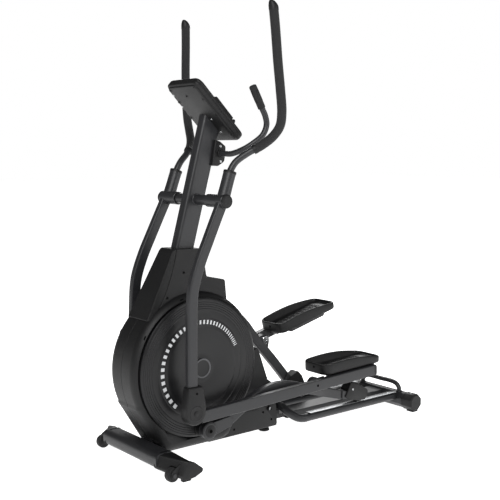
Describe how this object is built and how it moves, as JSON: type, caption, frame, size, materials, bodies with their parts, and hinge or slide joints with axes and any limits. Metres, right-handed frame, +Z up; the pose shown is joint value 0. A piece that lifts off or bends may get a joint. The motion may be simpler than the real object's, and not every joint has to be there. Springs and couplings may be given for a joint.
{
  "type": "elliptical trainer",
  "caption": "Elliptical trainer with a front crank disc, swing levers, footplates on roller arms over twin rear rails, and a console mast.",
  "frame": {"origin": "middle of the footprint on the floor", "axes": "+Z up, +X towards the user's end with the rails, +Y towards the right hand of a user facing the console"},
  "size_m": [1.4178, 0.6462, 1.688],
  "materials": {
    "paint": "satin charcoal powder coat",
    "black_plastic": "fine-grained black moulding",
    "disc_plastic": "satin black moulding",
    "rubber": "matt black rubber and foam",
    "rail_aluminium": "satin extruded",
    "steel": "turned and plated",
    "screen": "clear gloss over dark screen",
    "key_plastic": "soft grey"
  },
  "bodies": {
    "frame": {"main_frame": "paint", "rail_frame": "paint", "rail_left": "rail_aluminium", "rail_right": "rail_aluminium", "mast": "paint", "front_bar": "paint", "rear_bar": "paint", "front_cap_left": "black_plastic", "front_cap_right": "black_plastic", "rear_cap_left": "black_plastic", "rear_cap_right": "black_plastic", "lift_handle": "paint", "centre_foot": "rubber", "housing_left": "black_plastic", "housing_right": "black_plastic", "nose_cover": "black_plastic", "boot_cover": "black_plastic", "drive_belt": "rubber", "servo_motor": "black_plastic", "power_inlet": "black_plastic", "swing_axle": "steel", "console_back": "black_plastic", "console_front": "black_plastic", "console_display": "screen", "pulse_bar": "paint", "pulse_grip_left": "rubber", "pulse_grip_right": "rubber", "bar_clamp": "black_plastic"},
    "crank": {"crank_disc_left": "disc_plastic", "crank_disc_right": "disc_plastic", "crank_axle": "steel", "crank_pin_left": "black_plastic", "crank_pin_right": "black_plastic", "drive_pulley": "black_plastic"},
    "flywheel": {"flywheel": "steel"},
    "magnet_bracket": {"magnet_bracket": "steel"},
    "start_key": {"start_key": "key_plastic"},
    "up_key": {"up_key": "key_plastic"},
    "down_key": {"down_key": "key_plastic"},
    "transport_wheel_left": {"transport_wheel_left": "rubber"},
    "transport_wheel_right": {"transport_wheel_right": "rubber"},
    "swing_left": {"lever_left": "paint", "lever_cover_left": "black_plastic", "handle_left": "paint", "grip_left": "rubber"},
    "pedal_arm_left": {"pedal_bar_left": "paint", "pedal_left": "black_plastic"},
    "roller_arm_left": {"roller_arm_left": "paint", "roller_cover_left": "black_plastic"},
    "roller_left": {"roller_left": "rubber"},
    "swing_right": {"lever_right": "paint", "lever_cover_right": "black_plastic", "handle_right": "paint", "grip_right": "rubber"},
    "pedal_arm_right": {"pedal_bar_right": "paint", "pedal_right": "black_plastic"},
    "roller_arm_right": {"roller_arm_right": "paint", "roller_cover_right": "black_plastic"},
    "roller_right": {"roller_right": "rubber"}
  },
  "joints": [
    {"name": "crank_turn", "type": "hinge", "parent": "frame", "child": "crank", "pos_m": [-0.4245, 0, 0.347], "axis": [0, 1, 0], "continuous": true},
    {"name": "flywheel_spin", "type": "hinge", "parent": "frame", "child": "flywheel", "pos_m": [-0.2395, 0, 0.21], "axis": [0, 1, 0], "continuous": true},
    {"name": "brake_lift", "type": "hinge", "parent": "frame", "child": "magnet_bracket", "pos_m": [-0.17299, 0, 0.12618], "axis": [0, 1, 0], "range_deg": [0, 6]},
    {"name": "swing_left", "type": "hinge", "parent": "frame", "child": "swing_left", "pos_m": [-0.3815, 0, 0.972], "axis": [0, 1, 0], "range_deg": [-17.75, 17.75]},
    {"name": "pedal_pivot_left", "type": "hinge", "parent": "swing_left", "child": "pedal_arm_left", "pos_m": [-0.51745, 0, 0.20999], "axis": [0, 1, 0], "range_deg": [-14.2, 14.2]},
    {"name": "arm_pivot_left", "type": "hinge", "parent": "pedal_arm_left", "child": "roller_arm_left", "pos_m": [0.11794, 0, 0.2121], "axis": [0, 1, 0], "range_deg": [-4.7, 4.7]},
    {"name": "roller_spin_left", "type": "hinge", "parent": "roller_arm_left", "child": "roller_left", "pos_m": [0.39841, -0.113, 0.105], "axis": [0, 1, 0], "continuous": true},
    {"name": "transport_spin_left", "type": "hinge", "parent": "frame", "child": "transport_wheel_left", "pos_m": [-0.6525, -0.24, 0.0253], "axis": [0, 1, 0], "continuous": true},
    {"name": "swing_right", "type": "hinge", "parent": "frame", "child": "swing_right", "pos_m": [-0.3815, 0, 0.972], "axis": [0, 1, 0], "range_deg": [-17.75, 17.75]},
    {"name": "pedal_pivot_right", "type": "hinge", "parent": "swing_right", "child": "pedal_arm_right", "pos_m": [-0.54289, 0, 0.21497], "axis": [0, 1, 0], "range_deg": [-14.2, 14.2]},
    {"name": "arm_pivot_right", "type": "hinge", "parent": "pedal_arm_right", "child": "roller_arm_right", "pos_m": [0.07776, 0, 0.35111], "axis": [0, 1, 0], "range_deg": [-4.7, 4.7]},
    {"name": "roller_spin_right", "type": "hinge", "parent": "roller_arm_right", "child": "roller_right", "pos_m": [0.2497, 0.113, 0.105], "axis": [0, 1, 0], "continuous": true},
    {"name": "transport_spin_right", "type": "hinge", "parent": "frame", "child": "transport_wheel_right", "pos_m": [-0.6525, 0.24, 0.0253], "axis": [0, 1, 0], "continuous": true},
    {"name": "down_key_press", "type": "slide", "parent": "frame", "child": "down_key", "axis": [-0.7071, 0, -0.7071], "range_m": [0, 0.0015], "stiffness_N_per_m": 600, "springref_m": -0.0005},
    {"name": "start_key_press", "type": "slide", "parent": "frame", "child": "start_key", "axis": [-0.7071, 0, -0.7071], "range_m": [0, 0.0015], "stiffness_N_per_m": 600, "springref_m": -0.0005},
    {"name": "up_key_press", "type": "slide", "parent": "frame", "child": "up_key", "axis": [-0.7071, 0, -0.7071], "range_m": [0, 0.0015], "stiffness_N_per_m": 600, "springref_m": -0.0005}
  ],
  "couplings": [
    {"joint": "flywheel_spin", "follows": "crank_turn", "ratio": 7.6471},
    {"joint": "swing_right", "follows": "swing_left", "ratio": -1},
    {"joint": "pedal_pivot_left", "follows": "swing_left", "ratio": -0.786},
    {"joint": "arm_pivot_left", "follows": "swing_left", "ratio": -0.214},
    {"joint": "pedal_pivot_right", "follows": "swing_left", "ratio": 0.74},
    {"joint": "arm_pivot_right", "follows": "swing_left", "ratio": 0.26}
  ]
}
